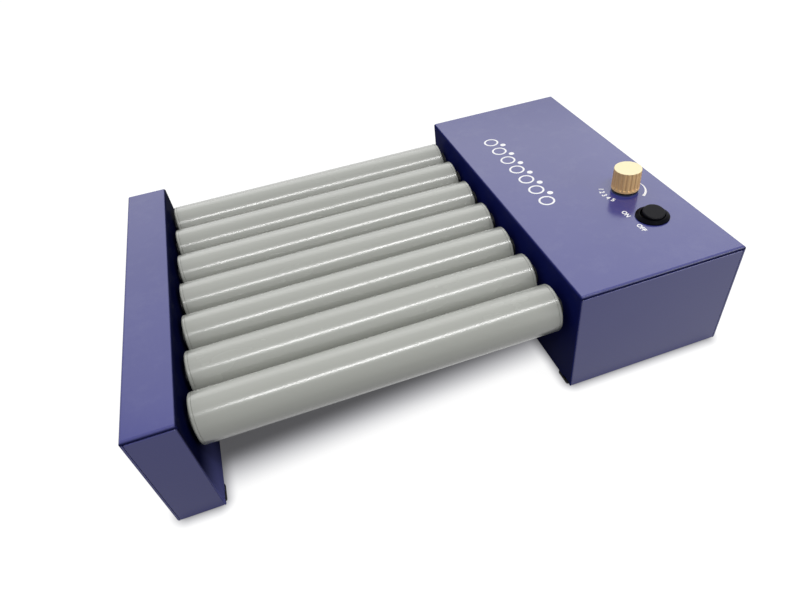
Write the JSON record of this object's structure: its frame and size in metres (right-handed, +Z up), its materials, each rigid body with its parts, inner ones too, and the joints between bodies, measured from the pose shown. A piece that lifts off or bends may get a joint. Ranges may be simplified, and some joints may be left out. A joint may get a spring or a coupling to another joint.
{
  "type": "tube roller mixer",
  "caption": "Bench mixer that turns sample tubes on a row of driven plastic rollers between two painted steel housings, with a speed knob and rocker switch.",
  "frame": {"origin": "centre of the footprint, on the surface that the feet stand on", "axes": "+X along the rollers towards the control housing, +Y to the back, +Z up"},
  "size_m": [0.3926, 0.265, 0.1029],
  "materials": {
    "housing_paint": "satin",
    "floor_paint": "satin",
    "bearing_steel": "satin",
    "bush_nylon": "matte",
    "roller_plastic": "gloss",
    "axle_steel": "bright",
    "pulley_plastic": "matte",
    "belt_rubber": "matte",
    "motor_case": "satin",
    "knob_plastic": "satin",
    "switch_plastic": "satin",
    "nut_metal": "satin",
    "control_case": "satin",
    "inlet_plastic": "matte",
    "pin_brass": "bright",
    "board_laminate": "matte",
    "foot_rubber": "matte",
    "screw_steel": "bright"
  },
  "bodies": {
    "frame": {"left_shell": "housing_paint", "left_front_panel": "housing_paint", "left_rear_panel": "housing_paint", "right_shell": "housing_paint", "right_front_panel": "housing_paint", "right_rear_panel": "housing_paint", "left_floor": "floor_paint", "right_floor": "floor_paint", "bridge_tray": "floor_paint", "left_bearing_rail": "bearing_steel", "right_bearing_rail": "bearing_steel", "axle_bushes": "bush_nylon", "feet": "foot_rubber", "floor_screws": "screw_steel", "roller_belts": "belt_rubber", "motor_belt": "belt_rubber", "gear_motor": "motor_case", "motor_bracket": "bearing_steel", "control_body": "control_case", "control_nut": "nut_metal", "switch_body": "switch_plastic", "power_inlet": "inlet_plastic", "inlet_pins": "pin_brass", "fuse_holder": "inlet_plastic", "control_board": "board_laminate", "board_standoffs": "bearing_steel"},
    "roller_1": {"roller_1_tube": "roller_plastic", "roller_1_caps": "roller_plastic", "roller_1_axle": "axle_steel", "roller_1_pulley": "pulley_plastic"},
    "roller_2": {"roller_2_tube": "roller_plastic", "roller_2_caps": "roller_plastic", "roller_2_axle": "axle_steel", "roller_2_pulley": "pulley_plastic"},
    "roller_3": {"roller_3_tube": "roller_plastic", "roller_3_caps": "roller_plastic", "roller_3_axle": "axle_steel", "roller_3_pulley": "pulley_plastic"},
    "roller_4": {"roller_4_tube": "roller_plastic", "roller_4_caps": "roller_plastic", "roller_4_axle": "axle_steel", "roller_4_pulley": "pulley_plastic"},
    "roller_5": {"roller_5_tube": "roller_plastic", "roller_5_caps": "roller_plastic", "roller_5_axle": "axle_steel", "roller_5_pulley": "pulley_plastic"},
    "roller_6": {"roller_6_tube": "roller_plastic", "roller_6_caps": "roller_plastic", "roller_6_axle": "axle_steel", "roller_6_pulley": "pulley_plastic"},
    "roller_7": {"roller_7_tube": "roller_plastic", "roller_7_caps": "roller_plastic", "roller_7_axle": "axle_steel", "roller_7_pulley": "pulley_plastic"},
    "motor_drive": {"motor_shaft": "axle_steel", "motor_pulley": "pulley_plastic"},
    "speed_knob": {"knob": "knob_plastic", "control_shaft": "axle_steel"},
    "switch_rocker": {"rocker": "switch_plastic"}
  },
  "joints": [
    {"name": "roller_1_spin", "type": "hinge", "parent": "frame", "child": "roller_1", "pos_m": [-0.045, 0.1117, 0.0585], "axis": [1, 0, 0], "continuous": true},
    {"name": "roller_2_spin", "type": "hinge", "parent": "frame", "child": "roller_2", "pos_m": [-0.045, 0.0752, 0.0585], "axis": [1, 0, 0], "continuous": true},
    {"name": "roller_3_spin", "type": "hinge", "parent": "frame", "child": "roller_3", "pos_m": [-0.045, 0.0387, 0.0585], "axis": [1, 0, 0], "continuous": true},
    {"name": "roller_4_spin", "type": "hinge", "parent": "frame", "child": "roller_4", "pos_m": [-0.045, 0.0022, 0.0585], "axis": [1, 0, 0], "continuous": true},
    {"name": "roller_5_spin", "type": "hinge", "parent": "frame", "child": "roller_5", "pos_m": [-0.045, -0.0343, 0.0585], "axis": [1, 0, 0], "continuous": true},
    {"name": "roller_6_spin", "type": "hinge", "parent": "frame", "child": "roller_6", "pos_m": [-0.045, -0.0708, 0.0585], "axis": [1, 0, 0], "continuous": true},
    {"name": "roller_7_spin", "type": "hinge", "parent": "frame", "child": "roller_7", "pos_m": [-0.045, -0.1073, 0.0585], "axis": [1, 0, 0], "continuous": true},
    {"name": "motor_spin", "type": "hinge", "parent": "frame", "child": "motor_drive", "pos_m": [0.1, 0.0022, 0.025], "axis": [1, 0, 0], "continuous": true},
    {"name": "knob_turn", "type": "hinge", "parent": "frame", "child": "speed_knob", "pos_m": [0.1656, -0.0397, 0.085], "axis": [0, 0, 1], "range_deg": [-270, 0]},
    {"name": "switch_tip", "type": "hinge", "parent": "frame", "child": "switch_rocker", "pos_m": [0.1634, -0.0777, 0.084], "axis": [1, 0, 0], "range_deg": [-18, 0]}
  ],
  "couplings": [
    {"joint": "roller_1_spin", "follows": "roller_4_spin", "ratio": 1},
    {"joint": "roller_2_spin", "follows": "roller_4_spin", "ratio": 1},
    {"joint": "roller_3_spin", "follows": "roller_4_spin", "ratio": 1},
    {"joint": "roller_5_spin", "follows": "roller_4_spin", "ratio": 1},
    {"joint": "roller_6_spin", "follows": "roller_4_spin", "ratio": 1},
    {"joint": "roller_7_spin", "follows": "roller_4_spin", "ratio": 1},
    {"joint": "motor_spin", "follows": "roller_4_spin", "ratio": 1}
  ]
}
